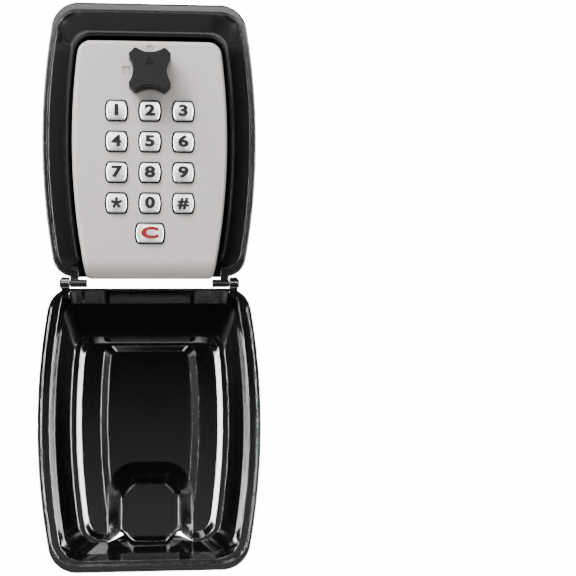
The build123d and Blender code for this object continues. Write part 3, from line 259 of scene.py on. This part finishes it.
def painted_gap_shade(material):
    """Goes from 0 on the crown of a key to 1 on its sides below the face of the plate, where black
    is painted as the shade in the gap round the key.
    """
    links = material.node_tree.links
    place = add_node(material, "ShaderNodeTexCoord")
    axes = add_node(material, "ShaderNodeSeparateXYZ")
    blend = add_node(material, "ShaderNodeMapRange",
                     From_Min=-PLATE_FACE - GAP_SHADE_BLEND, From_Max=-PLATE_FACE)
    links.new(place.outputs["Object"], axes.inputs["Vector"])
    links.new(axes.outputs["Y"], blend.inputs["Value"])
    return blend.outputs["Result"]


def key_silver():
    """Satin silver caps with faint upright brushing, and black painted below the face of the plate
    as the shade in the gaps round the keys.
    """
    material, shader = new_material("key_silver")
    shader.inputs["Metallic"].default_value = 0.65
    brushed = mix_colours(material, noise(material, scale=900, detail=2, stretch=(3, 1, 0.3)),
                          (0.40, 0.40, 0.405), (0.62, 0.62, 0.625))
    # Painted shade: the sides of the keys below the plate's face are black, standing in for the
    # shadow in the gaps
    vary_colour(material, shader, painted_gap_shade(material), brushed, (0.004, 0.004, 0.004))
    vary_roughness(material, shader, noise(material, scale=400, detail=2), low=0.22, high=0.30)
    add_relief(material, shader, noise(material, scale=1800, detail=2, stretch=(2, 1, 0.2)),
               height=0.006 * MM, strength=0.4)
    return material


def drawn_steel(name, colour, roughness, along):
    """Bright steel with fine drawing lines."""
    material, shader = new_material(name)
    shader.inputs["Metallic"].default_value = 1.0
    lines = noise(material, scale=2500, stretch=along)
    vary_colour(material, shader, lines, darkened(colour, 0.85), colour)
    vary_roughness(material, shader, lines, *roughness)
    add_relief(material, shader, noise(material, scale=3000, detail=2, stretch=along),
               height=0.004 * MM, strength=0.5)
    return material


def make_materials():
    """One material for each slot of the record."""
    steels = (
        ("steel_bright", (0.78, 0.78, 0.79), (0.14, 0.26), ALONG_X),
        ("screw_steel", (0.85, 0.85, 0.86), (0.10, 0.20), EVEN),
        ("disc_dark", (0.16, 0.16, 0.165), (0.24, 0.36), EVEN),
        ("lock_steel", (0.60, 0.60, 0.61), (0.26, 0.38), ALONG_Z),
        ("spring_steel", (0.66, 0.66, 0.67), (0.20, 0.30), ALONG_X),
    )
    materials = {
        "shell_black": shell_black(),
        "cover_black": cover_black(),
        "box_black": coated_black("box_black", (0.012, 0.012, 0.0125), roughness=(0.29, 0.39)),
        "plate_grey": plate_grey(),
        "back_black": coated_black("back_black", (0.010, 0.010, 0.0105), roughness=(0.25, 0.35)),
        "key_silver": key_silver(),
        "knob_dark": knob_dark(),
    }
    for name, colour, roughness, along in steels:
        materials[name] = drawn_steel(name, colour, roughness, along)
    return materials


def dress_nodes(frame, materials):
    """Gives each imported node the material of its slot."""
    for row in frame["record"]["subparts"]:
        node = frame["nodes"][row["node"]]
        for slot in node.material_slots:
            slot.material = materials[row["material_slot"]]


def new_print(key, kind, material):
    """An empty print with a curve of the given kind."""
    curve = bpy.data.curves.new("print_" + key, kind)
    curve.extrude = PRINT_DEPTH
    curve.materials.append(material)
    piece = bpy.data.objects.new("print_" + key, curve)
    bpy.context.collection.objects.link(piece)
    return piece, curve


def place_print(piece, key, body):
    """Seats a printed character on the crown of its key."""
    low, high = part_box("button_" + key)
    piece.location = ((low[0] + high[0]) / 2, low[1], (low[2] + high[2]) / 2)
    piece.rotation_euler = (radians(90), 0, 0)
    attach(piece, body)


def set_character(key, text, material, body):
    """A character in wide type, with bold strokes pressed flat."""
    piece, curve = new_print(key, "FONT", material)
    curve.body = text
    curve.size = TYPE_SIZE
    curve.align_x = "CENTER"
    curve.align_y = "CENTER"
    curve.bevel_depth = TYPE_SWELL
    piece.scale.x = TYPE_STRETCH.get(key, USUAL_STRETCH)
    piece.scale.z = TYPE_FLATNESS
    place_print(piece, key, body)


def star_outline():
    """One outline round the blunt arms of a star, in shares of its size."""
    points = []
    inner = STAR_HALF_WIDTH / tan(pi / STAR_ARMS)
    for arm in range(STAR_ARMS):
        angle = radians(90) + 2 * pi * arm / STAR_ARMS
        along = (cos(angle), sin(angle))
        aside = (-sin(angle), cos(angle))
        for reach, side in ((inner, -1), (STAR_REACH, -STAR_FLARE), (STAR_REACH, STAR_FLARE)):
            offset = side * STAR_HALF_WIDTH
            points.append((reach * along[0] + offset * aside[0],
                           reach * along[1] + offset * aside[1]))
    return points


def draw_star(material):
    """The star of its key, filled as a flat outline."""
    piece, curve = new_print("star", "CURVE", material)
    curve.dimensions = "2D"
    curve.fill_mode = "BOTH"
    outline = star_outline()
    spline = curve.splines.new("POLY")
    spline.points.add(len(outline) - 1)
    for point, (x, y) in zip(spline.points, outline):
        point.co = (x * STAR_SIZE, y * STAR_SIZE, 0, 1)
    spline.use_cyclic_u = True
    place_print(piece, "star", "key_star")


def print_keys():
    """Black characters on the keys, and a red one on the clear key."""
    black = ink("ink_black", (0.006, 0.006, 0.006))
    red = ink("ink_red", (0.36, 0.004, 0.012))
    draw_star(black)
    for key, text in CHARACTERS.items():
        if key == "clear":
            set_character(key, text, red, "clear_button")
        else:
            set_character(key, text, black, "key_" + key)


def add_camera():
    """Camera turned so that the safe stands where it does in the picture."""
    data = bpy.data.cameras.new("camera")
    data.lens = LENS
    data.sensor_width = SENSOR
    camera = bpy.data.objects.new("camera", data)
    bpy.context.collection.objects.link(camera)
    focal_px = LENS / SENSOR * IMAGE_WIDTH
    middle_px = IMAGE_WIDTH / 2
    yaw = atan((middle_px - SAFE_MIDDLE_PX) / focal_px)
    pitch = atan((HORIZON_PX - middle_px) / focal_px)
    camera.location = (0, -CAMERA_DISTANCE, CAMERA_HEIGHT)
    camera.rotation_euler = (radians(90) + pitch, 0, -yaw)
    bpy.context.scene.camera = camera


def add_floor():
    """Plain pale floor well below the safe, which hangs on its wall bolts."""
    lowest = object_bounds()[0][2]
    bpy.ops.mesh.primitive_plane_add(size=FLOOR_SIZE, location=(0, 0, lowest - FLOOR_DROP))
    floor = bpy.context.object
    floor.name = "floor"
    material, shader = new_material("floor_pale")
    vary_colour(material, shader, noise(material, scale=4), (0.84, 0.84, 0.84), (0.88, 0.88, 0.88))
    shader.inputs["Roughness"].default_value = 0.8
    floor.data.materials.append(material)
    # The gloss sees the steps of the world instead
    floor.visible_glossy = False


def add_lights():
    """Soft boxes turned to their targets."""
    for box in SOFTBOXES:
        light = bpy.data.lights.new(box.name, "AREA")
        light.shape = "RECTANGLE"
        light.size = box.width
        light.size_y = box.height
        light.energy = box.power
        lamp = bpy.data.objects.new(box.name, light)
        bpy.context.collection.objects.link(lamp)
        lamp.location = box.place
        aim = Vector(box.target) - Vector(box.place)
        lamp.rotation_euler = aim.to_track_quat("-Z", "Y").to_euler()
        lamp.visible_diffuse = box.diffuse
        lamp.visible_glossy = box.gloss


def from_height(world, axes, low, high):
    """Goes from low for rays that point straight down to high for rays straight up."""
    node = add_node(world, "ShaderNodeMapRange", From_Min=-1.0, To_Min=low, To_Max=high)
    world.node_tree.links.new(axes.outputs["Z"], node.inputs["Value"])
    return node.outputs["Result"]


def gloss_steps(world, height):
    """The steps of light that the reflections see."""
    node = add_node(world, "ShaderNodeValToRGB")
    ramp = node.color_ramp
    # A ramp can't be empty, so one of its own two steps stays until the others are in
    ramp.elements.remove(ramp.elements[1])
    for place, value in GLOSS_STEPS:
        step = ramp.elements.new(place)
        step.color = (value, value, value, 1)
    ramp.elements.remove(ramp.elements[0])
    world.node_tree.links.new(height, node.inputs["Fac"])
    return node.outputs["Color"]


def add_world():
    """White backdrop for the camera, steps of light in the gloss and soft light from above."""
    world = bpy.data.worlds.new("studio")
    world.use_nodes = True
    bpy.context.scene.world = world
    links = world.node_tree.links
    ray = add_node(world, "ShaderNodeLightPath")
    place = add_node(world, "ShaderNodeTexCoord")
    axes = add_node(world, "ShaderNodeSeparateXYZ")
    links.new(place.outputs["Generated"], axes.inputs["Vector"])
    glossy = add_node(world, "ShaderNodeMix")
    links.new(ray.outputs["Is Glossy Ray"], glossy.inputs["Factor"])
    links.new(from_height(world, axes, ROOM_LOW, ROOM_HIGH), glossy.inputs["A"])
    links.new(gloss_steps(world, from_height(world, axes, 0.0, 1.0)), glossy.inputs["B"])
    seen = add_node(world, "ShaderNodeMix", B=BACKDROP)
    links.new(ray.outputs["Is Camera Ray"], seen.inputs["Factor"])
    links.new(glossy.outputs["Result"], seen.inputs["A"])
    background = world.node_tree.nodes["Background"]
    background.inputs["Color"].default_value = (1, 1, 1, 1)
    links.new(seen.outputs["Result"], background.inputs["Strength"])


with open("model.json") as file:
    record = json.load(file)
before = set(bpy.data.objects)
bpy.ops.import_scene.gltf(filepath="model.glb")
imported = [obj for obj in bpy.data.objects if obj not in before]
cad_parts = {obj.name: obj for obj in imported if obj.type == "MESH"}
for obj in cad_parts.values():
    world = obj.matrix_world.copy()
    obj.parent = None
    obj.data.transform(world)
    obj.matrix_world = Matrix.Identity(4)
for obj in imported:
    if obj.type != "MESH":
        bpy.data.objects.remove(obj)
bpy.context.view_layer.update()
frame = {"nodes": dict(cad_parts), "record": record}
dress_nodes(frame, make_materials())
print_keys()
add_camera()
add_floor()
add_lights()
add_world()
